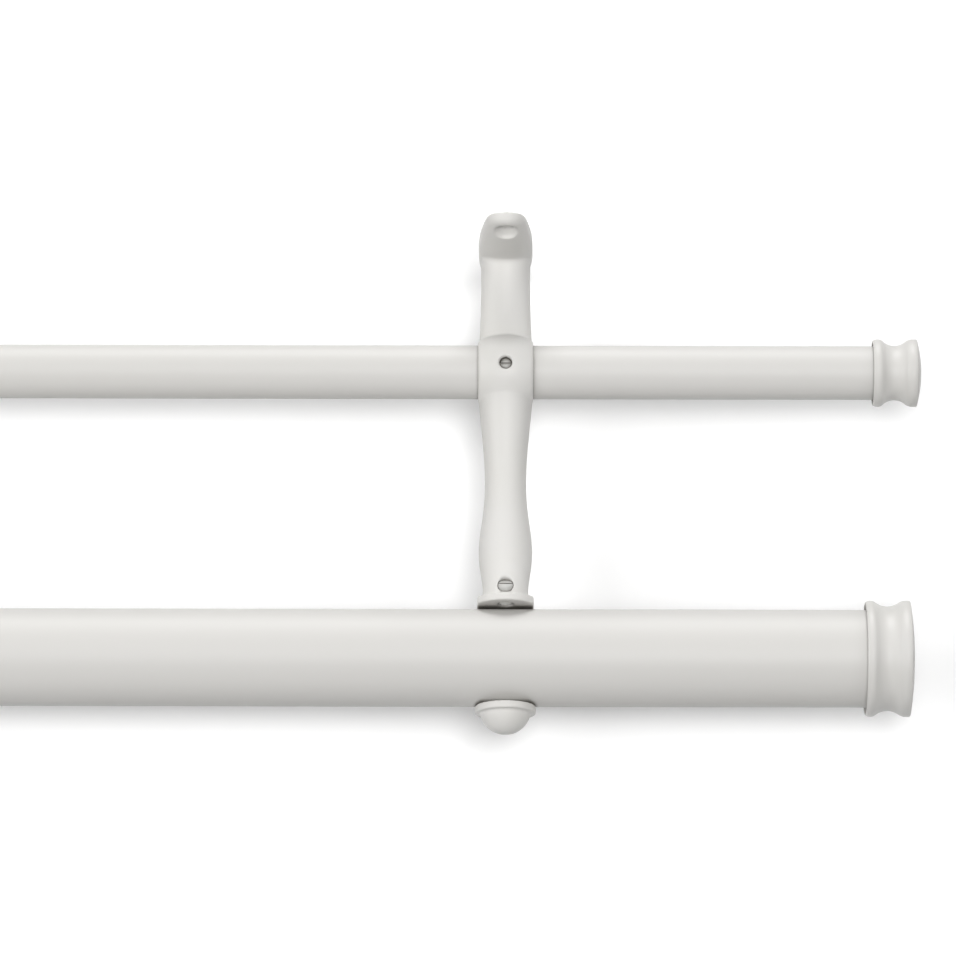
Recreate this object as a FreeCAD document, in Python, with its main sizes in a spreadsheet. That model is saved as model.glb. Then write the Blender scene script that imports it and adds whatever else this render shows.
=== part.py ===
# Double curtain pole: two telescopic poles, a stout front one and a slim back one, carried one
# behind the other by two cast wall brackets and closed by turned end caps.
# Millimetres. The origin is the middle of the right bracket's wall face, +X runs along the poles
# to the right, +Y into the wall and +Z up, so the poles lie in front of the wall at negative Y.
import FreeCAD, Part
import os
import re
import Sketcher

V = FreeCAD.Vector
document = FreeCAD.newDocument("DoubleCurtainPole")

# Driving sizes
SIZES = {
    # Poles: two rolled steel tubes each, the inner one sliding in the outer one
    "front_pole_dia": 28.6,
    "back_pole_dia": 15.9,
    "tube_wall": 0.6,
    "slide_gap": 0.2,
    "outer_tube_length": 600.0,
    "inner_tube_length": 700.0,
    "front_overhang": 109.5,
    "back_overhang": 112.8,
    # Places of the brackets and of the poles in them. Closed, the brackets stand as near to each
    # other as the outer tubes' ends and the right plugs allow.
    "outer_end_space": 9.5,
    "inner_end_space": 19.0,
    "back_pole_reach": 40.0,
    "pole_spacing": 87.0,
    "seat_gap": 0.02,
    # Wall base of the casting: a long oval, swollen in the middle and thin at its ends and sides
    "base_height": 61.6,
    "base_width": 16.0,
    "base_end_radius": 5.8,
    "base_middle_depth": 7.3,
    "base_end_depth": 3.1,
    "base_side_depth": 4.6,
    "base_edge_round": 1.8,
    "wall_screw_spacing": 50.8,
    "wall_screw_hole": 4.5,
    "wall_screw_head": 8.0,
    "wall_screw_seat": 2.6,
    # Upper arm, an oval bar from the base to the ring
    "upper_arm_root": 3.8,
    "upper_arm_root_dia": 14.8,
    "upper_arm_neck": 15.5,
    "upper_arm_width": 14.6,
    "upper_arm_height": 9.8,
    "upper_arm_blend": 1.6,
    "upper_arm_end_width": 16.0,
    "upper_arm_end_height": 9.4,
    # Ring round the back pole, barrel shaped
    "ring_width": 16.3,
    "ring_middle_radius": 11.2,
    "ring_end_radius": 9.4,
    "ring_edge_bevel": 0.6,
    "ring_clearance": 0.15,
    # Front arm, a round waisted bar that sweeps up to the cradle
    "front_arm_start_dia": 16.1,
    "front_arm_shoulder": 19.0,
    "front_arm_shoulder_dia": 14.0,
    "front_arm_waist": 31.0,
    "front_arm_waist_dia": 12.3,
    "front_arm_swell": 44.0,
    "front_arm_swell_dia": 13.4,
    "front_arm_belly": 56.5,
    "front_arm_belly_dia": 15.7,
    "front_arm_neck": 64.5,
    "front_arm_neck_rise": 2.8,
    "front_arm_end_dia": 13.9,
    "front_arm_end_rise": 4.6,
    # Cradle under the front pole: a bent strap with a tongue behind and a round flange in front
    "cradle_clearance": 0.4,
    "strap_thickness": 2.1,
    "front_tongue_width": 15.0,
    "front_tongue_top": 4.0,
    "flange_dia": 17.8,
    "back_tongue_width": 16.6,
    "back_tongue_top": 12.0,
    "back_tongue_arch": 5.3,
    "boss_dia": 14.8,
    "boss_height": 6.1,
    # Set screws
    "thread_clearance": 0.05,
    "ring_screw_dia": 3.7,
    "ring_screw_length": 1.5,
    "ring_hole_mouth": 5.3,
    "hole_mouth_depth": 0.7,
    "screw_chamfer": 0.35,
    "cradle_screw_dia": 4.4,
    "cradle_screw_length": 6.7,
    "cradle_screw_angle": 45.0,
    "cradle_screw_height": 5.2,
    "cradle_screw_back_off": 1.3,
    "screw_slot_width": 0.6,
    "screw_slot_depth": 0.45,
    # End caps, turned: two beads with a cove between them and a slightly domed end
    "cap_length": 13.1,
    "cap_dome": 1.3,
    "cap_bead": 2.9,
    "cap_lip": 0.5,
    "cap_second_bead": 9.9,
    "cap_rim": 1.9,
    "front_cap_radius": 17.0,
    "front_cap_cove_radius": 15.3,
    "front_cap_mouth_radius": 16.1,
    "back_cap_radius": 10.0,
    "back_cap_cove_radius": 8.05,
    "back_cap_mouth_radius": 9.1,
    "cap_clearance": 0.15,
    "cap_engagement": 4.3,
    "cap_flare": 2.9,
    "cap_socket_depth": 5.6,
    # End plugs, moulded, pushed into the pole ends and into the sockets of the caps
    "plug_depth": 14.0,
    "plug_wall": 1.4,
    "plug_step": 1.2,
    "plug_clearance": 0.4,
    "plug_rib_width": 1.2,
    "plug_rib_count": 6.0,
}

# The sheet that every piece below reads
sheet = document.addObject("Spreadsheet::Sheet", "Sizes")
for row, (alias, size) in enumerate(SIZES.items(), start=1):
    sheet.set(f"A{row}", alias.replace("_", " "))
    sheet.set(f"B{row}", str(size))
    sheet.setAlias(f"B{row}", alias)
document.recompute()

WORDS = re.compile(r"\b(" + "|".join(sorted(SIZES, key=len, reverse=True)) + r")\b")


def formula(text):
    """A formula in the sheet's words, written as the document reads it."""
    return WORDS.sub(r"Sizes.\1", text)


def number(text):
    """The present value of a formula in the sheet's words."""
    return float(sheet.evalExpression(formula(text)))


def bind(thing, place, text):
    thing.setExpression(place, formula(text))


# Formulas that several pieces share
BRACKET_SPACING = ("max(outer_tube_length - front_overhang + outer_end_space;"
                   " inner_tube_length - 2 * front_overhang + inner_end_space)")
FRONT_AXIS = "(back_pole_reach + pole_spacing)"
STEP_UP = "(tube_wall + slide_gap)"
RING_BORE = "(back_pole_dia / 2 + ring_clearance)"
RING_Z = "(ring_clearance - seat_gap)"
CRADLE_BORE = "(front_pole_dia / 2 + cradle_clearance)"
CRADLE_Z = "(cradle_clearance - seat_gap)"
BACK_TONGUE_FACE = f"(-{FRONT_AXIS} + {CRADLE_BORE})"
FRONT_TONGUE_FACE = f"(-{FRONT_AXIS} - {CRADLE_BORE})"
SCREW_COS = "cos(cradle_screw_angle * 1deg)"
SCREW_SIN = "sin(cradle_screw_angle * 1deg)"


def new_body(label):
    body = document.addObject("PartDesign::Body", label)
    body.Label = label
    return body


def new_sketch(body, name, plane, offset=None, turn=None):
    """A sketch on one of the body's own planes, moved and turned from it where asked."""
    sketch = body.newObject("Sketcher::SketchObject", name)
    feature = [item for item in body.Origin.OriginFeatures if item.Role == plane][0]
    sketch.AttachmentSupport = [(feature, "")]
    sketch.MapMode = "FlatFace"
    if turn:
        axis, angle = turn
        sketch.AttachmentOffset = FreeCAD.Placement(V(0, 0, 0), FreeCAD.Rotation(axis, 0))
        bind(sketch, "AttachmentOffset.Rotation.Angle", angle)
    for letter, text in zip("xyz", offset or ()):
        if text != "0":
            bind(sketch, f"AttachmentOffset.Base.{letter}", text)
    return sketch


def lock(sketch, geometry, point, x, y):
    """Holds a point of the sketch at x, y. A plain 0 puts it on the axis itself."""
    for kind, axis, text in (("DistanceX", -2, x), ("DistanceY", -1, y)):
        if text == "0":
            sketch.addConstraint(Sketcher.Constraint("PointOnObject", geometry, point, axis))
        else:
            held = sketch.addConstraint(
                Sketcher.Constraint(kind, -1, 1, geometry, point, number(text)))
            bind(sketch, f"Constraints[{held}]", text)


def outline(sketch, corners):
    """A closed outline through the corners. A corner with a third entry starts an arc of that
    radius, and a minus sign in the fourth bends it to the other side. A half circle has a fifth
    entry, the height of its centre, which holds it instead of the radius."""
    places = [V(number(corner[0]), number(corner[1]), 0) for corner in corners]
    count = len(corners)
    first = sketch.GeometryCount
    for index, corner in enumerate(corners):
        start = places[index]
        end = places[(index + 1) % count]
        if len(corner) == 2:
            sketch.addGeometry(Part.LineSegment(start, end))
        else:
            radius = number(corner[2])
            side = -1 if corner[3] == "-" else 1
            half = (end - start) * 0.5
            across = V(half.y, -half.x, 0) * (1 / half.Length)
            rise = radius - max(radius ** 2 - half.Length ** 2, 0) ** 0.5
            middle = start + half + across * rise * side
            ends = (start, end) if side > 0 else (end, start)
            sketch.addGeometry(Part.Arc(ends[0], middle, ends[1]))
    # An arc always runs anticlockwise, so one that bends the other way starts at its far end
    starts = [2 if len(corner) > 2 and corner[3] == "-" else 1 for corner in corners]
    for index, corner in enumerate(corners):
        curve = first + index
        following = (index + 1) % count
        sketch.addConstraint(Sketcher.Constraint(
            "Coincident", curve, 3 - starts[index], first + following, starts[following]))
        lock(sketch, curve, starts[index], corner[0], corner[1])
        if len(corner) == 5:
            held = sketch.addConstraint(
                Sketcher.Constraint("DistanceY", -1, 1, curve, 3, number(corner[4])))
            bind(sketch, f"Constraints[{held}]", corner[4])
        elif len(corner) > 2:
            held = sketch.addConstraint(Sketcher.Constraint("Radius", curve, number(corner[2])))
            bind(sketch, f"Constraints[{held}]", corner[2])


def circle(sketch, x, y, diameter):
    index = sketch.addGeometry(Part.Circle(V(number(x), number(y), 0), V(0, 0, 1), number(diameter) / 2))
    lock(sketch, index, 3, x, y)
    held = sketch.addConstraint(Sketcher.Constraint("Diameter", index, number(diameter)))
    bind(sketch, f"Constraints[{held}]", diameter)


def ellipse(sketch, width, height):
    """An ellipse about the sketch's origin, its longer axis the one that is longer now."""
    lying = number(width) >= number(height)
    long_way, short_way = (width, height) if lying else (height, width)
    along = V(1, 0, 0) if lying else V(0, 1, 0)
    index = sketch.addGeometry(Part.Ellipse(
        along * (number(long_way) / 2), V(-along.y, along.x, 0) * (number(short_way) / 2), V(0, 0, 0)))
    sketch.exposeInternalGeometry(index)
    sketch.addConstraint(Sketcher.Constraint("Coincident", index, 3, -1, 1))
    sketch.addConstraint(Sketcher.Constraint("Horizontal" if lying else "Vertical", index + 1))
    for line, text in ((index + 1, long_way), (index + 2, short_way)):
        held = sketch.addConstraint(Sketcher.Constraint("Distance", line, number(text)))
        bind(sketch, f"Constraints[{held}]", text)


def pad(body, name, sketch, length, both_sides=False, flipped=False):
    feature = body.newObject("PartDesign::Pad", name)
    feature.Profile = sketch
    feature.SideType = "Symmetric" if both_sides else "One side"
    feature.Reversed = flipped
    bind(feature, "Length", length)
    return feature


def pocket(body, name, sketch, length, both_sides=False, flipped=False):
    feature = body.newObject("PartDesign::Pocket", name)
    feature.Profile = sketch
    feature.SideType = "Symmetric" if both_sides else "One side"
    feature.Reversed = flipped
    bind(feature, "Length", length)
    return feature


def turned(body, name, sketch, axis, cut=False):
    kind = "PartDesign::Groove" if cut else "PartDesign::Revolution"
    feature = body.newObject(kind, name)
    feature.Profile = sketch
    feature.ReferenceAxis = (sketch, [axis])
    feature.Angle = 360
    return feature


def loft(body, name, sketches):
    feature = body.newObject("PartDesign::AdditiveLoft", name)
    feature.Profile = sketches[0]
    feature.Sections = sketches[1:]
    feature.Ruled = False
    return feature


# Poles
def tube(label, diameter, length, start, axis_y):
    """One tube of a pole: start is its left end, the tube runs to the right from there."""
    body = new_body(label)
    section = new_sketch(body, f"{label}_section", "YZ_Plane")
    circle(section, "0", "0", diameter)
    circle(section, "0", "0", f"{diameter} - 2 * tube_wall")
    pad(body, f"{label}_wall", section, length)
    bind(body, "Placement.Base.x", start)
    bind(body, "Placement.Base.y", axis_y)
    return body


# Brackets: each one casting with base, upper arm, ring, front arm, cradle and boss
def add_base(body, label):
    """The oval wall plate: bowed sides that run into round ends, crowned front, rounded rim."""
    half_width = "(base_width / 2)"
    end_centre = "(base_height / 2 - base_end_radius)"
    bow = (f"(({end_centre} * {end_centre} + {half_width} * {half_width}"
           " - base_end_radius * base_end_radius) / (base_width - 2 * base_end_radius))")
    meeting_x = f"(base_end_radius * ({bow} - {half_width}) / ({bow} - base_end_radius))"
    meeting_z = f"({end_centre} * {bow} / ({bow} - base_end_radius))"
    oval = new_sketch(body, f"{label}_base_outline", "XZ_Plane")
    outline(oval, [
        (meeting_x, f"-{meeting_z}", bow, "+"),
        (meeting_x, meeting_z, "base_end_radius", "+"),
        (f"-{meeting_x}", meeting_z, bow, "+"),
        (f"-{meeting_x}", f"-{meeting_z}", "base_end_radius", "+"),
    ])
    pad(body, f"{label}_base_plate", oval, "base_middle_depth")

    # The front is crowned both ways: an upright arc swung about an upright axis behind the wall
    fall = "(base_middle_depth - base_side_depth)"
    swing = f"(({half_width} * {half_width} + {fall} * {fall}) / (2 * {fall}))"
    half_height = "(base_height / 2)"
    swell = "(base_middle_depth - base_end_depth)"
    crown = f"(({half_height} * {half_height} + {swell} * {swell}) / (2 * {swell}))"
    front = new_sketch(body, f"{label}_base_front_outline", "YZ_Plane",
                       (f"{swing} - base_middle_depth", "0", "0"))
    outline(front, [
        (f"{swing} - {swell}", f"-{half_height}", crown, "+"),
        (f"{swing} - {swell}", half_height),
        (f"2 * {swing}", half_height),
        (f"2 * {swing}", f"-{half_height}"),
    ])
    crowned = turned(body, f"{label}_base_front", front, "V_Axis", cut=True)
    document.recompute()
    rim = [f"Edge{index}" for index, edge in enumerate(crowned.Shape.Edges, start=1)
           if edge.BoundBox.YMax < -0.1 and edge.BoundBox.XLength + edge.BoundBox.ZLength > 1]
    rounding = body.newObject("PartDesign::Fillet", f"{label}_base_rounding")
    rounding.Base = (crowned, rim)
    bind(rounding, "Radius", "base_edge_round")
    document.recompute()


def add_arms(body, label):
    """The oval upper arm from base to ring, and the round waisted one from ring to cradle."""
    root = new_sketch(body, f"{label}_upper_arm_root", "XZ_Plane", ("0", "0", "upper_arm_root"))
    circle(root, "0", "0", "upper_arm_root_dia")
    ovals = [root]
    for name, depth, width, height in (
            ("neck", "upper_arm_neck", "upper_arm_width", "upper_arm_height"),
            ("end", "back_pole_reach - ring_end_radius / 2",
             "upper_arm_end_width", "upper_arm_end_height")):
        section = new_sketch(body, f"{label}_upper_arm_{name}", "XZ_Plane", ("0", "0", depth))
        ellipse(section, width, height)
        ovals.append(section)
    upper_arm = loft(body, f"{label}_upper_arm", ovals)
    document.recompute()
    foot = [f"Edge{index}" for index, edge in enumerate(upper_arm.Shape.Edges, start=1)
            if -number("base_middle_depth") < edge.CenterOfMass.y < -number("upper_arm_root")
            and edge.Length > number("upper_arm_root_dia")
            and edge.BoundBox.ZLength < number("base_height / 2")]
    blend = body.newObject("PartDesign::Fillet", f"{label}_upper_arm_blend")
    blend.Base = (upper_arm, foot)
    bind(blend, "Radius", "upper_arm_blend")

    circles = []
    for name, depth, diameter, rise in (
            ("start", "back_pole_reach + ring_end_radius - 2 * ring_edge_bevel",
             "front_arm_start_dia", "0"),
            ("shoulder", "back_pole_reach + front_arm_shoulder", "front_arm_shoulder_dia", "0"),
            ("waist", "back_pole_reach + front_arm_waist", "front_arm_waist_dia", "0"),
            ("swell", "back_pole_reach + front_arm_swell", "front_arm_swell_dia", "0"),
            ("belly", "back_pole_reach + front_arm_belly", "front_arm_belly_dia", "0"),
            ("neck", "back_pole_reach + front_arm_neck",
             "front_arm_end_dia", "front_arm_neck_rise"),
            ("end", f"-{BACK_TONGUE_FACE} - strap_thickness / 2",
             "front_arm_end_dia", "front_arm_end_rise")):
        section = new_sketch(body, f"{label}_front_arm_{name}", "XZ_Plane", ("0", "0", depth))
        circle(section, "0", rise, diameter)
        circles.append(section)
    loft(body, f"{label}_front_arm", circles)


def add_ring(body, label):
    """The barrel round the back pole. Its bore comes after the arms."""
    barrel = new_sketch(body, f"{label}_ring_side", "XY_Plane", ("0", "-back_pole_reach", RING_Z))
    swell = "(ring_middle_radius - ring_end_radius)"
    shoulder = "(ring_width / 2 - ring_edge_bevel)"
    bulge = f"(({shoulder} * {shoulder} + {swell} * {swell}) / (2 * {swell}))"
    outline(barrel, [
        ("-ring_width / 2", "0"),
        ("ring_width / 2", "0"),
        ("ring_width / 2", "ring_end_radius - ring_edge_bevel"),
        (shoulder, "ring_end_radius", bulge, "+"),
        (f"-{shoulder}", "ring_end_radius"),
        ("-ring_width / 2", "ring_end_radius - ring_edge_bevel"),
    ])
    turned(body, f"{label}_ring", barrel, "H_Axis")


def add_cradle(body, label):
    """The U strap under the front pole, its arched back tongue, and the round flange and boss."""
    strap = new_sketch(body, f"{label}_strap_side", "YZ_Plane")
    outer = f"({CRADLE_BORE} + strap_thickness)"
    outline(strap, [
        (f"-{FRONT_AXIS} - {outer}", CRADLE_Z, outer, "+", CRADLE_Z),
        (f"-{FRONT_AXIS} + {outer}", CRADLE_Z),
        (f"-{FRONT_AXIS} + {outer}", "back_tongue_top"),
        (BACK_TONGUE_FACE, "back_tongue_top"),
        (BACK_TONGUE_FACE, CRADLE_Z, CRADLE_BORE, "-", CRADLE_Z),
        (FRONT_TONGUE_FACE, CRADLE_Z),
        (FRONT_TONGUE_FACE, "front_tongue_top"),
        (f"-{FRONT_AXIS} - {outer}", "front_tongue_top"),
    ])
    pad(body, f"{label}_strap", strap, "back_tongue_width", both_sides=True)

    # In plan the strap widens towards the wall
    taper = new_sketch(body, f"{label}_strap_taper_outline", "XY_Plane")
    for sign in ("", "-"):
        outline(taper, [
            (f"{sign}front_tongue_width / 2", f"{FRONT_TONGUE_FACE} - strap_thickness"),
            (f"{sign}back_tongue_width / 2", f"{BACK_TONGUE_FACE} + strap_thickness"),
            (f"{sign}back_tongue_width", f"{BACK_TONGUE_FACE} + strap_thickness"),
            (f"{sign}back_tongue_width", f"{FRONT_TONGUE_FACE} - strap_thickness"),
        ])
    pocket(body, f"{label}_strap_taper", taper, f"4 * {CRADLE_BORE}", both_sides=True)

    # The back tongue's top is an arch
    side = "(back_tongue_width / 2)"
    arch = "back_tongue_arch"
    shoulder = f"back_tongue_top - {arch}"
    radius = f"(({side} * {side} + {arch} * {arch}) / (2 * {arch}))"
    corner = new_sketch(body, f"{label}_back_tongue_outline", "XZ_Plane",
                        ("0", "0", f"-{BACK_TONGUE_FACE} - strap_thickness"))
    outline(corner, [
        (f"-{side}", shoulder, radius, "-"),
        (side, shoulder),
        (f"2 * {side}", shoulder),
        (f"2 * {side}", "back_tongue_top + strap_thickness"),
        (f"-2 * {side}", "back_tongue_top + strap_thickness"),
        (f"-2 * {side}", shoulder),
    ])
    pocket(body, f"{label}_back_tongue", corner, "strap_thickness", flipped=True)

    # The round flange covers the front tongue and carries the domed boss
    boss = new_sketch(body, f"{label}_boss_side", "XY_Plane")
    face = f"({FRONT_TONGUE_FACE} - strap_thickness)"
    dome = "((boss_dia * boss_dia / 4 + boss_height * boss_height) / (2 * boss_height))"
    outline(boss, [
        ("0", FRONT_TONGUE_FACE),
        ("0", f"{face} - boss_height", dome, "+"),
        ("boss_dia / 2", face),
        ("flange_dia / 2", face),
        ("flange_dia / 2", FRONT_TONGUE_FACE),
    ])
    turned(body, f"{label}_boss", boss, "V_Axis")


def add_holes(body, label):
    """The ring's bore, two countersunk wall screw holes and two threaded set screw holes."""
    bore = new_sketch(body, f"{label}_ring_bore_outline", "YZ_Plane")
    circle(bore, "-back_pole_reach", RING_Z, f"2 * {RING_BORE}")
    pocket(body, f"{label}_ring_bore", bore, "2 * ring_width", both_sides=True)

    head_rise = "(wall_screw_head - wall_screw_hole) / 2"
    for name, height in (("upper", "wall_screw_spacing / 2"), ("lower", "-wall_screw_spacing / 2")):
        seat = new_sketch(body, f"{label}_{name}_screw_side", "YZ_Plane", ("0", height, "0"))
        outline(seat, [
            ("wall_screw_seat", "0"),
            ("wall_screw_seat", "wall_screw_hole / 2"),
            ("-wall_screw_seat", "wall_screw_hole / 2"),
            (f"-wall_screw_seat - {head_rise}", "wall_screw_head / 2"),
            ("-2 * base_middle_depth", "wall_screw_head / 2"),
            ("-2 * base_middle_depth", "0"),
        ])
        turned(body, f"{label}_{name}_screw_hole", seat, "H_Axis", cut=True)

    # Straight down through the top of the ring
    down = new_sketch(body, f"{label}_ring_screw_side", "YZ_Plane", ("-back_pole_reach", "0", "0"))
    thread = "(ring_screw_dia / 2 + thread_clearance)"
    ring_top = f"({RING_Z} + ring_middle_radius)"
    outline(down, [
        ("0", "0"),
        (thread, "0"),
        (thread, f"{ring_top} - hole_mouth_depth"),
        ("ring_hole_mouth / 2", f"{ring_top} + hole_mouth_depth / 2"),
        ("0", f"{ring_top} + hole_mouth_depth / 2"),
    ])
    turned(body, f"{label}_ring_screw_hole", down, "V_Axis", cut=True)

    # Aslant down through the arm's raised end and out of the back tongue
    aslant = new_sketch(body, f"{label}_cradle_screw_side", "YZ_Plane",
                        (BACK_TONGUE_FACE, "cradle_screw_height", "0"),
                        (V(0, 0, 1), "cradle_screw_angle * 1deg"))
    thread = "(cradle_screw_dia / 2 + thread_clearance)"
    outline(aslant, [
        ("-2 * strap_thickness", "0"),
        ("-2 * strap_thickness", thread),
        ("2 * front_arm_end_dia", thread),
        ("2 * front_arm_end_dia", "0"),
    ])
    turned(body, f"{label}_cradle_screw_hole", aslant, "H_Axis", cut=True)


def bracket(label, place_x, lift):
    body = new_body(label)
    add_base(body, label)
    add_ring(body, label)
    add_arms(body, label)
    add_cradle(body, label)
    add_holes(body, label)
    bind(body, "Placement.Base.x", place_x)
    bind(body, "Placement.Base.z", lift)
    return body


# Set screws: headless, slotted at the outer end, bevelled at the tip
def set_screw(label, diameter, length, place, lean=None):
    """A set screw standing on its tip at the origin, then leaned towards the wall and placed."""
    body = new_body(label)
    side = new_sketch(body, f"{label}_side", "XZ_Plane")
    outline(side, [
        ("0", "0"),
        (f"{diameter} / 2 - 2 * screw_chamfer", "0"),
        (f"{diameter} / 2", "2 * screw_chamfer"),
        (f"{diameter} / 2", f"{length} - screw_chamfer"),
        (f"{diameter} / 2 - screw_chamfer", length),
        ("0", length),
    ])
    turned(body, f"{label}_shank", side, "V_Axis")
    slot = new_sketch(body, f"{label}_slot_outline", "YZ_Plane")
    outline(slot, [
        ("-screw_slot_width / 2", f"{length} - screw_slot_depth"),
        ("screw_slot_width / 2", f"{length} - screw_slot_depth"),
        ("screw_slot_width / 2", f"{length} + screw_slot_depth"),
        ("-screw_slot_width / 2", f"{length} + screw_slot_depth"),
    ])
    pocket(body, f"{label}_slot", slot, f"2 * {diameter}", both_sides=True)
    body.Placement = FreeCAD.Placement(V(0, 0, 0), FreeCAD.Rotation(V(1, 0, 0), 0))
    if lean:
        bind(body, "Placement.Rotation.Angle", lean)
    for letter, text in zip("xyz", place):
        bind(body, f"Placement.Base.{letter}", text)
    return body


# End caps: turned, hollow at the mouth, with a socket for the plug
def end_cap(label, radius, cove_radius, mouth_radius, pole_dia, socket_radius, place_x, axis_y, turn):
    body = new_body(label)
    side = new_sketch(body, f"{label}_side", "XY_Plane")
    bead = "((cap_bead * cap_bead / 4 + cap_lip * cap_lip) / (2 * cap_lip))"
    half_cove = "((cap_second_bead - cap_bead) / 2)"
    dip = f"({radius} - cap_lip - {cove_radius})"
    cove = f"(({half_cove} * {half_cove} + {dip} * {dip}) / (2 * {dip}))"
    face = f"({radius} - cap_lip / 2)"
    dome = f"(({face} * {face} + cap_dome * cap_dome) / (2 * cap_dome))"
    outline(side, [
        ("0", mouth_radius),
        ("cap_flare", f"{pole_dia} / 2 + cap_clearance"),
        ("cap_engagement", f"{pole_dia} / 2 + cap_clearance"),
        ("cap_engagement", socket_radius),
        ("cap_engagement + cap_socket_depth", socket_radius),
        ("cap_engagement + cap_socket_depth", "0"),
        ("cap_length + cap_dome", "0", dome, "+"),
        ("cap_length", face),
        ("cap_length - cap_lip / 2", radius),
        ("cap_length - cap_rim", radius),
        ("cap_second_bead", f"{radius} - cap_lip", cove, "-"),
        ("cap_bead", f"{radius} - cap_lip", bead, "+"),
        ("0", f"{radius} - cap_lip"),
    ])
    turned(body, f"{label}_turning", side, "H_Axis")
    body.Placement = FreeCAD.Placement(V(0, 0, 0), FreeCAD.Rotation(V(0, 0, 1), turn))
    bind(body, "Placement.Base.x", place_x)
    bind(body, "Placement.Base.y", axis_y)
    return body


# End plugs: moulded, hollow, ribbed where they grip inside the tube
def end_plug(label, bore_dia, socket_radius, place_x, axis_y, turn):
    body = new_body(label)
    side = new_sketch(body, f"{label}_side", "XY_Plane")
    grip = f"({bore_dia} / 2 - plug_clearance)"
    head = f"({socket_radius} - seat_gap)"
    outline(side, [
        ("-plug_depth", f"{head} - plug_wall"),
        ("cap_socket_depth - seat_gap - plug_wall", f"{head} - plug_wall"),
        ("cap_socket_depth - seat_gap - plug_wall", "0"),
        ("cap_socket_depth - seat_gap", "0"),
        ("cap_socket_depth - seat_gap", head),
        ("0", head),
        ("0", grip),
        ("-plug_depth + plug_clearance", grip),
        ("-plug_depth", f"{grip} - plug_clearance"),
    ])
    turned(body, f"{label}_shell", side, "H_Axis")
    rib_outline = new_sketch(body, f"{label}_rib_outline", "YZ_Plane")
    outline(rib_outline, [
        ("-plug_rib_width / 2", f"{grip} - plug_clearance / 2"),
        ("plug_rib_width / 2", f"{grip} - plug_clearance / 2"),
        ("plug_rib_width / 2", f"{grip} + plug_clearance - 2 * seat_gap"),
        ("-plug_rib_width / 2", f"{grip} + plug_clearance - 2 * seat_gap"),
    ])
    rib = pad(body, f"{label}_rib", rib_outline, "plug_depth - 2 * plug_clearance", flipped=True)
    document.recompute()
    ribs = body.newObject("PartDesign::PolarPattern", f"{label}_ribs")
    ribs.Originals = [rib]
    ribs.Axis = (rib_outline, ["N_Axis"])
    ribs.Angle = 360
    bind(ribs, "Occurrences", "plug_rib_count")
    body.Tip = ribs
    body.Placement = FreeCAD.Placement(V(0, 0, 0), FreeCAD.Rotation(V(0, 0, 1), turn))
    bind(body, "Placement.Base.x", place_x)
    bind(body, "Placement.Base.y", axis_y)
    return body


# Both poles, with their caps and plugs. The right half carries the outer tubes, the left half
# the inner ones, so the left caps are the same turnings on plugs for a smaller tube.
for pole, outer_dia, overhang, axis_y in (
        ("front", "front_pole_dia", "front_overhang", f"-{FRONT_AXIS}"),
        ("back", "back_pole_dia", "back_overhang", "-back_pole_reach")):
    inner_dia = f"({outer_dia} - 2 * tube_wall - 2 * slide_gap)"
    socket = f"({inner_dia} / 2 - tube_wall - plug_step)"
    left_end = f"(-{BRACKET_SPACING} - {overhang})"
    tube(f"{pole}_outer_tube", outer_dia, "outer_tube_length", f"{overhang} - outer_tube_length", axis_y)
    tube(f"{pole}_inner_tube", inner_dia, "inner_tube_length", left_end, axis_y)
    for side, tube_dia, tube_end, outward, turn in (
            ("right", outer_dia, overhang, "", 0),
            ("left", inner_dia, left_end, "-", 180)):
        end_cap(f"{pole}_end_cap_{side}", f"{pole}_cap_radius", f"{pole}_cap_cove_radius",
                f"{pole}_cap_mouth_radius", outer_dia, socket,
                f"{tube_end} - {outward}(cap_engagement)", axis_y, turn)
        end_plug(f"{pole}_end_plug_{side}", f"({tube_dia} - 2 * tube_wall)", socket,
                 tube_end, axis_y, turn)

# Both brackets, each with its two set screws. The left one stands higher by the step between the
# tubes, so that the smaller tubes lie in the same seats. The slanting cradle screw is backed off a
# little from the pole, which it would meet with the upper corner of its tip.
for side, place_x, step in (("right", "0 * front_overhang", "0"),
                            ("left", f"-{BRACKET_SPACING}", STEP_UP)):
    lift = step if side == "left" else "0 * tube_wall"
    bracket(f"bracket_{side}", place_x, lift)
    set_screw(f"ring_set_screw_{side}", "ring_screw_dia", "ring_screw_length",
              (place_x, "-back_pole_reach", f"back_pole_dia / 2 - {step} + seat_gap"))
    height = f"(cradle_screw_height + {step})"
    along = f"({CRADLE_BORE} * {SCREW_COS} + {height} * {SCREW_SIN})"
    corner = (f"({CRADLE_BORE} * {SCREW_SIN} - {height} * {SCREW_COS}"
              " - cradle_screw_dia / 2 + 2 * screw_chamfer)")
    pole = f"(front_pole_dia / 2 - {step} + cradle_screw_back_off)"
    tip = f"(sqrt({pole} * {pole} - {corner} * {corner}) - {along})"
    set_screw(f"cradle_set_screw_{side}", "cradle_screw_dia", "cradle_screw_length",
              (place_x,
               f"{BACK_TONGUE_FACE} + {tip} * {SCREW_COS}",
               f"{height} + {tip} * {SCREW_SIN}"),
              lean="cradle_screw_angle * 1deg - 90deg")
document.recompute()

# Every object is checked before anything is written
faults = [item.Name for item in document.Objects if {"Invalid", "Error"} & set(item.State)]
bodies = [item for item in document.Objects if item.TypeId == "PartDesign::Body"]
faults += [body.Label for body in bodies
           if body.Shape.isNull() or not body.Shape.isValid() or len(body.Shape.Solids) != 1]
if faults:
    raise RuntimeError("not sound: " + ", ".join(faults))
os.makedirs("parts", exist_ok=True)
for body in bodies:
    body.Shape.exportStep(f"parts/{body.Label}.step")
print(len(bodies), "parts written")
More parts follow.
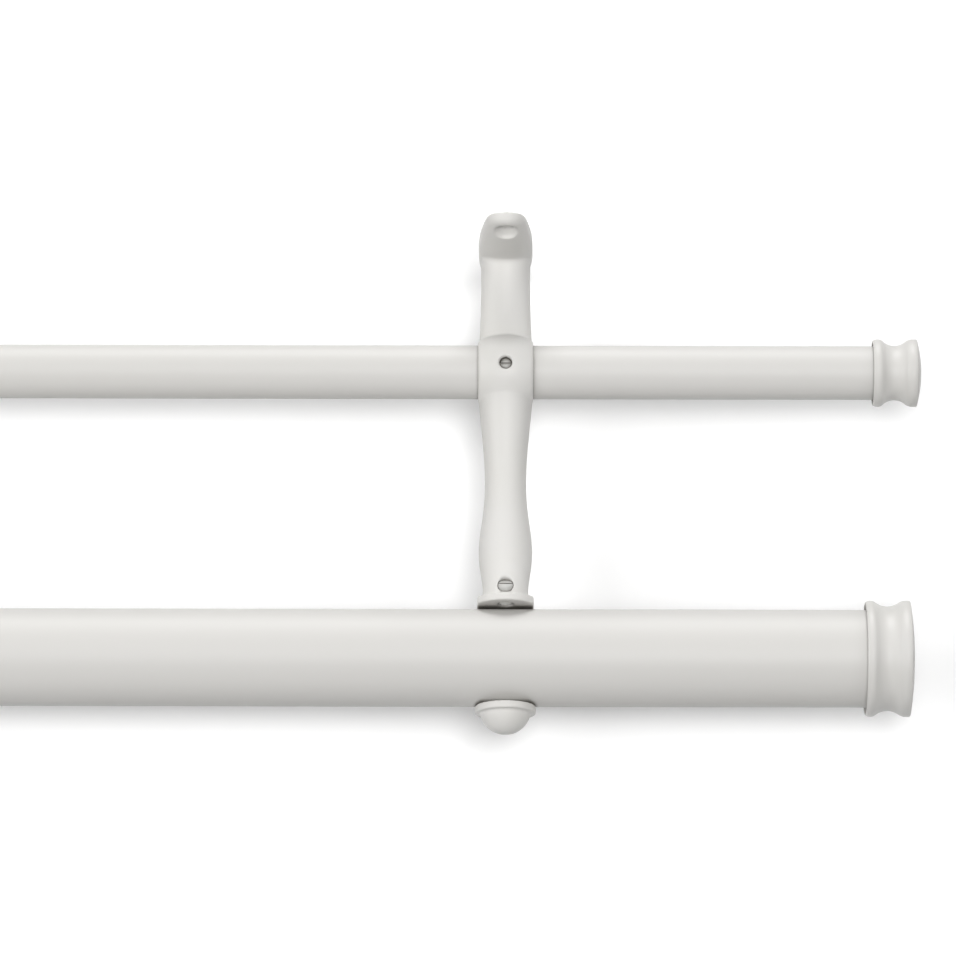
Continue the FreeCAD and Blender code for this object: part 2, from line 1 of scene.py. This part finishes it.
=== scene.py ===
# Double curtain pole in satin off-white: a stout front pole and a slim back one, both telescopic,
# on two cast wall brackets, seen from above as it is mounted. The wall is at +Y, the room at -Y.
import math

import bmesh
import bpy
from mathutils import Matrix, Vector


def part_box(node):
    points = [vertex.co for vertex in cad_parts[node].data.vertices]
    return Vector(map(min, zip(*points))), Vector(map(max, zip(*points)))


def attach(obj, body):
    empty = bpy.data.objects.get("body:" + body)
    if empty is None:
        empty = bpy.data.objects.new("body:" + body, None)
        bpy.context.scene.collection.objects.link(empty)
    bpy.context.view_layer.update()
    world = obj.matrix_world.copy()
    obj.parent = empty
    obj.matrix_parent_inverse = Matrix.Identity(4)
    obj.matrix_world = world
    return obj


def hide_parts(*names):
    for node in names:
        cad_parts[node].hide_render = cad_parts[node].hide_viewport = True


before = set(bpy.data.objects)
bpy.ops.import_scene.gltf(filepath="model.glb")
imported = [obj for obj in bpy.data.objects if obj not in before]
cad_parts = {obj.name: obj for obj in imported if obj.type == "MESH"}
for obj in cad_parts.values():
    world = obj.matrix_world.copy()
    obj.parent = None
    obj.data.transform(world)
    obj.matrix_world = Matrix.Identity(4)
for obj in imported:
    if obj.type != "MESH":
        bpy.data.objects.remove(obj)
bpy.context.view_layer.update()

MM = 0.001


# Poles
# Rolled and welded steel tube, sprayed satin off-white: an outer tube on the right half and a
# smaller one on the left half that slides in it. Their ends are cut square and lightly deburred.
OFF_WHITE = (0.61, 0.60, 0.58)
PAINT_GLOSS = 0.34
CLOUD_SCALE = 38.0
CLOUD_SPAN = (0.35, 0.65)
DULLEST = 0.04
GLOSSIEST = 0.03
PEEL_STRENGTH = 0.35
# Painted shade in corners and creases: how far out it reaches, the span it ramps over and its
# darkest colour
PAINTED_SHADE_REACH = 1.4 * MM
PAINTED_SHADE_SPAN = (0.25, 0.85)
PAINTED_SHADE_COLOUR = (0.30, 0.285, 0.26, 1)
ALONG_POLE = (0.08, 1, 1)
TUBE_WALL = 0.6 * MM
TUBE_BURR = 0.12 * MM
TUBE_STEPS = 160
SEAM_MERGE = 0.002 * MM
CRISP_EDGE = math.radians(32)


def node_of(tree, kind, place, **settings):
    """A shader node at a place in the tree, its plain settings and its sockets' values set."""
    node = tree.nodes.new(kind)
    node.location = place
    for name, value in settings.items():
        if hasattr(node, name):
            setattr(node, name, value)
        else:
            node.inputs[name.replace("_", " ").capitalize()].default_value = value
    return node


def paint(name, colour, roughness, peel_scale, peel_depth, cloud, stretch=(1, 1, 1)):
    """Satin spray paint: a soft cloudiness in its colour, painted shade in its corners and a fine
    peel.
    """
    material = bpy.data.materials.new(name)
    material.use_nodes = True
    tree = material.node_tree
    shader = tree.nodes["Principled BSDF"]
    shader.inputs["Specular IOR Level"].default_value = PAINT_GLOSS
    where = node_of(tree, "ShaderNodeTexCoord", (-1100, 0))
    pull = node_of(tree, "ShaderNodeMapping", (-900, 0), Scale=stretch)
    tree.links.new(where.outputs["Object"], pull.inputs["Vector"])

    clouds = node_of(tree, "ShaderNodeTexNoise", (-700, 200), Scale=CLOUD_SCALE, Detail=3.0)
    tree.links.new(pull.outputs["Vector"], clouds.inputs["Vector"])
    tint = node_of(tree, "ShaderNodeValToRGB", (-480, 200))
    darker = [channel * (1 - cloud) for channel in colour]
    tint.color_ramp.elements[0].position = CLOUD_SPAN[0]
    tint.color_ramp.elements[0].color = (darker[0], darker[1], darker[2] * (1 - cloud / 2), 1)
    tint.color_ramp.elements[1].position = CLOUD_SPAN[1]
    tint.color_ramp.elements[1].color = (*colour, 1)
    tree.links.new(clouds.outputs["Fac"], tint.inputs["Fac"])

    # Painted shade darkens the paint's colour in the corners and creases, up to about a millimetre
    # out of them
    openness = node_of(
        tree, "ShaderNodeAmbientOcclusion", (-700, 420), samples=8, Distance=PAINTED_SHADE_REACH)
    film = node_of(tree, "ShaderNodeValToRGB", (-480, 420))
    film.color_ramp.elements[0].position = PAINTED_SHADE_SPAN[0]
    film.color_ramp.elements[0].color = PAINTED_SHADE_COLOUR
    film.color_ramp.elements[1].position = PAINTED_SHADE_SPAN[1]
    film.color_ramp.elements[1].color = (1, 1, 1, 1)
    tree.links.new(openness.outputs["AO"], film.inputs["Fac"])
    shaded_in_corners = node_of(tree, "ShaderNodeMixRGB", (-240, 300), blend_type="MULTIPLY", Fac=1.0)
    tree.links.new(tint.outputs["Color"], shaded_in_corners.inputs["Color1"])
    tree.links.new(film.outputs["Color"], shaded_in_corners.inputs["Color2"])
    tree.links.new(shaded_in_corners.outputs["Color"], shader.inputs["Base Color"])

    # The gloss follows the clouds, a little duller where they are light
    gloss = node_of(tree, "ShaderNodeMapRange", (-480, -60))
    gloss.inputs["To Min"].default_value = roughness - GLOSSIEST
    gloss.inputs["To Max"].default_value = roughness + DULLEST
    tree.links.new(clouds.outputs["Fac"], gloss.inputs["Value"])
    tree.links.new(gloss.outputs["Result"], shader.inputs["Roughness"])

    peel = node_of(tree, "ShaderNodeTexNoise", (-700, -300), Scale=peel_scale, Detail=2.0)
    tree.links.new(pull.outputs["Vector"], peel.inputs["Vector"])
    bump = node_of(tree, "ShaderNodeBump", (-300, -300), Strength=PEEL_STRENGTH)
    bump.inputs["Distance"].default_value = peel_depth
    tree.links.new(peel.outputs["Fac"], bump.inputs["Height"])
    tree.links.new(bump.outputs["Normal"], shader.inputs["Normal"])
    return material


def piece_from(name, shape):
    """An object at the origin from a finished bmesh, faces outwards, smooth but for its edges."""
    bmesh.ops.recalc_face_normals(shape, faces=shape.faces)
    mesh = bpy.data.meshes.new(name)
    shape.to_mesh(mesh)
    shape.free()
    mesh.polygons.foreach_set("use_smooth", [True] * len(mesh.polygons))
    mesh.set_sharp_from_angle(angle=CRISP_EDGE)
    piece = bpy.data.objects.new(name, mesh)
    bpy.context.scene.collection.objects.link(piece)
    return piece


def dress(piece, finish, body, node):
    """Gives a piece its paint and its body, and hides the frame part that it stands for."""
    piece.data.materials.clear()
    piece.data.materials.append(finish)
    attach(piece, body)
    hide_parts(node)


def tube_section(node):
    """The middle of a tube in Y, and the (x, radius) points of its wall, deburred at both ends."""
    low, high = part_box(node)
    radius = (high.y - low.y) / 2
    bore = radius - TUBE_WALL
    return (low.y + high.y) / 2, [
        (low.x, bore + TUBE_BURR), (low.x, radius - TUBE_BURR), (low.x + TUBE_BURR, radius),
        (high.x - TUBE_BURR, radius), (high.x, radius - TUBE_BURR), (high.x, bore + TUBE_BURR),
        (high.x - TUBE_BURR, bore), (low.x + TUBE_BURR, bore)]


def rolled_tube(node):
    """Spins a tube's wall once round its pole's axis."""
    axis_y, section = tube_section(node)
    shape = bmesh.new()
    corners = [shape.verts.new((x, axis_y, radius)) for x, radius in section]
    for here, there in zip(corners, corners[1:] + corners[:1]):
        shape.edges.new((here, there))
    bmesh.ops.spin(
        shape, geom=shape.verts[:] + shape.edges[:], cent=(0, axis_y, 0), axis=(1, 0, 0),
        angle=math.tau, steps=TUBE_STEPS, use_merge=True, use_duplicate=False)
    bmesh.ops.remove_doubles(shape, verts=shape.verts, dist=SEAM_MERGE)
    return piece_from(f"{node}_painted", shape)


pole_paint = paint(
    "pole_paint", OFF_WHITE, roughness=0.46, peel_scale=900, peel_depth=0.02 * MM, cloud=0.012,
    stretch=ALONG_POLE)
for half, body in (("outer", "right_half"), ("inner", "left_half")):
    for pole in ("front", "back"):
        node = f"{pole}_{half}_tube"
        dress(rolled_tube(node), pole_paint, body, node)


# Brackets
# Each bracket is one die casting with wall base, arms, ring and cradle, bored and tapped. Its form
# is the frame's own; the thick paint on it is a little orange-peeled and rounds every edge.
CASTING_WHITE = (0.67, 0.66, 0.64)
PAINT_GRID = 0.38 * MM
LEVELLING = 0.5
FACET_MERGE = 0.0005 * MM
FLAT_WITHIN = math.radians(0.4)


def welded(node, name):
    """A copy of a frame part with its loose facets merged and the flat ones joined."""
    shape = bmesh.new()
    shape.from_mesh(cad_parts[node].data)
    bmesh.ops.remove_doubles(shape, verts=shape.verts, dist=FACET_MERGE)
    bmesh.ops.dissolve_limit(
        shape, angle_limit=FLAT_WITHIN, verts=shape.verts, edges=shape.edges)
    return piece_from(name, shape)


def rounded_by_paint(casting):
    """Rounds every edge by about the grid's size, as a thick coat of paint does."""
    film = casting.modifiers.new("paint_film", "REMESH")
    film.mode = "VOXEL"
    film.voxel_size = PAINT_GRID
    film.use_smooth_shade = True
    levelled = casting.modifiers.new("levelled", "SMOOTH")
    levelled.factor = LEVELLING
    levelled.iterations = 1


casting_paint = paint(
    "casting_paint", CASTING_WHITE, roughness=0.44, peel_scale=260, peel_depth=0.05 * MM, cloud=0.03)
for side in ("right", "left"):
    node = f"bracket_{side}"
    casting = welded(node, f"{node}_painted")
    rounded_by_paint(casting)
    dress(casting, casting_paint, f"{side}_half", node)


# End caps
# Turned metal, two beads with a cove between them, painted with the poles. The end is slightly
# domed and the mouth is hollow. Each covers the end of its pole and is held by the plug in it.
cap_paint = paint(
    "cap_paint", OFF_WHITE, roughness=0.40, peel_scale=420, peel_depth=0.03 * MM, cloud=0.02)
for side in ("right", "left"):
    for pole in ("front", "back"):
        node = f"{pole}_end_cap_{side}"
        dress(welded(node, f"{node}_painted"), cap_paint, f"{side}_half", node)


# Set screws
# Small headless steel screws with a slot, painted in place: one in the ring stands on the back
# pole, one slants through the arm to the cradle.
SCREW_GREY = (0.50, 0.495, 0.48)
screw_paint = paint(
    "screw_paint", SCREW_GREY, roughness=0.42, peel_scale=600, peel_depth=0.04 * MM, cloud=0.05)
for side in ("right", "left"):
    for place in ("ring", "cradle"):
        node = f"{place}_set_screw_{side}"
        dress(welded(node, f"{node}_painted"), screw_paint, f"{side}_half", node)


# End plugs
# Moulded plastic, ribbed to grip the bore of the pole's end. What stands out of the pole fills the
# cap's socket, so nothing of a plug shows once the cap is on.
PLUG_GREY = (0.52, 0.52, 0.50)
plug_plastic = paint(
    "plug_plastic", PLUG_GREY, roughness=0.55, peel_scale=500, peel_depth=0.03 * MM, cloud=0.02)
for side in ("right", "left"):
    for pole in ("front", "back"):
        node = f"{pole}_end_plug_{side}"
        dress(welded(node, f"{node}_moulded"), plug_plastic, f"{side}_half", node)


# Floor
# A plain pale studio sheet just under the wall bases, where the poles' soft shadows fall. It is
# lighter to the eye than to the lamps, and runs into white away from the poles.
FLOOR_Z = -33 * MM
FLOOR_REACH = 8.0
TONE_IN_LIGHT = 0.45
TONE_SEEN = 0.96
GLOW_NEAR = 0.08
WHITE_STARTS = 0.8
WHITE_FROM = 2.0


def rays_that_see(tree):
    """A socket that is 1 for rays from the eye, a gloss or a glass, and 0 for the others."""
    rays = node_of(tree, "ShaderNodeLightPath", (-800, 0))
    seen = node_of(tree, "ShaderNodeMath", (-600, 100), operation="MAXIMUM")
    seen_through = node_of(tree, "ShaderNodeMath", (-400, 100), operation="MAXIMUM")
    tree.links.new(rays.outputs["Is Camera Ray"], seen.inputs[0])
    tree.links.new(rays.outputs["Is Glossy Ray"], seen.inputs[1])
    tree.links.new(seen.outputs["Value"], seen_through.inputs[0])
    tree.links.new(rays.outputs["Is Transmission Ray"], seen_through.inputs[1])
    return seen_through.outputs["Value"]


sheet = bmesh.new()
bmesh.ops.create_grid(sheet, x_segments=1, y_segments=1, size=FLOOR_REACH)
bmesh.ops.translate(sheet, verts=sheet.verts, vec=(0, 0, FLOOR_Z))
floor = piece_from("studio_floor", sheet)
floor_finish = bpy.data.materials.new("studio_floor")
floor_finish.use_nodes = True
tree = floor_finish.node_tree
matt = tree.nodes["Principled BSDF"]
matt.inputs["Roughness"].default_value = 0.9
matt.inputs["Specular IOR Level"].default_value = 0.0
to_the_eye = rays_that_see(tree)
tone = node_of(tree, "ShaderNodeMapRange", (-200, 100))
tone.inputs["To Min"].default_value = TONE_IN_LIGHT
tone.inputs["To Max"].default_value = TONE_SEEN
tree.links.new(to_the_eye, tone.inputs["Value"])
tree.links.new(tone.outputs["Result"], matt.inputs["Base Color"])
spot = node_of(tree, "ShaderNodeTexCoord", (-1000, -300))
away = node_of(tree, "ShaderNodeVectorMath", (-800, -300), operation="LENGTH")
tree.links.new(spot.outputs["Object"], away.inputs[0])
brighter = node_of(tree, "ShaderNodeMapRange", (-600, -300))
brighter.inputs["From Min"].default_value = WHITE_STARTS
brighter.inputs["From Max"].default_value = WHITE_FROM
brighter.inputs["To Min"].default_value = GLOW_NEAR
brighter.inputs["To Max"].default_value = 1.0
tree.links.new(away.outputs["Value"], brighter.inputs["Value"])
glow = node_of(tree, "ShaderNodeMath", (-200, -200), operation="MULTIPLY")
tree.links.new(to_the_eye, glow.inputs[0])
tree.links.new(brighter.outputs["Result"], glow.inputs[1])
matt.inputs["Emission Color"].default_value = (1, 1, 1, 1)
tree.links.new(glow.outputs["Value"], matt.inputs["Emission Strength"])
floor.data.materials.append(floor_finish)


# Light
# A soft lamp nearly overhead draws the shadows. Four wider ones fill in from the wall side, the
# left, the right and the room. The sky is white to the eye and in a gloss, and lights faintly.
LIT_POINT = Vector((0, -80 * MM, 0))
LAMP_DISTANCE = 2.2
OVERHEAD_SIZE = 0.8
FILL_SIZE = 1.3
SKY_LIGHT = 0.03


def soft_lamp(name, towards, size, watts):
    """A square lamp that looks at the brackets' middle from a direction."""
    data = bpy.data.lights.new(name, "AREA")
    data.shape = "SQUARE"
    data.size = size
    data.energy = watts
    lamp = bpy.data.objects.new(name, data)
    direction = Vector(towards).normalized()
    lamp.location = LIT_POINT + direction * LAMP_DISTANCE
    lamp.rotation_euler = direction.to_track_quat("Z", "Y").to_euler()
    bpy.context.scene.collection.objects.link(lamp)


soft_lamp("overhead", (0.12, -0.16, 1.0), OVERHEAD_SIZE, 25.0)
soft_lamp("wall_side", (0.0, 1.0, 0.3), FILL_SIZE, 33.0)
soft_lamp("left_side", (-0.8, -0.1, 0.7), FILL_SIZE, 24.0)
soft_lamp("right_side", (0.8, 0.0, 0.7), FILL_SIZE, 10.0)
soft_lamp("room_side", (-0.2, -1.0, 0.45), FILL_SIZE, 6.0)
world = bpy.data.worlds.new("studio")
world.use_nodes = True
sky = world.node_tree
backdrop = sky.nodes["Background"]
backdrop.inputs["Color"].default_value = (1, 1, 1, 1)
level = node_of(sky, "ShaderNodeMapRange", (-200, 0))
level.inputs["To Min"].default_value = SKY_LIGHT
sky.links.new(rays_that_see(sky), level.inputs["Value"])
sky.links.new(level.outputs["Result"], backdrop.inputs["Strength"])
bpy.context.scene.world = world


# Camera
# High above the room side, looking down at the right bracket, 15 degrees off straight down.
PIXELS_PER_MM = 3.395
FRAME_PIXELS = 956
SENSOR_MM = 36
LOOK_DISTANCE = 2.0
LOOK_AT = Vector((-8.1 * MM, -72.4 * MM, 0))
TILT = math.radians(15.4)
ROLL = math.radians(0.11)
FAR_CLIP = 20
camera_data = bpy.data.cameras.new("camera")
camera_data.sensor_width = SENSOR_MM
camera_data.lens = SENSOR_MM * LOOK_DISTANCE / (FRAME_PIXELS / PIXELS_PER_MM * MM)
camera_data.clip_end = FAR_CLIP
camera = bpy.data.objects.new("camera", camera_data)
camera.matrix_world = (
    Matrix.Translation(LOOK_AT + LOOK_DISTANCE * Vector((0, -math.sin(TILT), math.cos(TILT))))
    @ Matrix.Rotation(TILT, 4, "X") @ Matrix.Rotation(ROLL, 4, "Z"))
bpy.context.scene.collection.objects.link(camera)
bpy.context.scene.camera = camera
bpy.context.scene.view_settings.view_transform = "Standard"
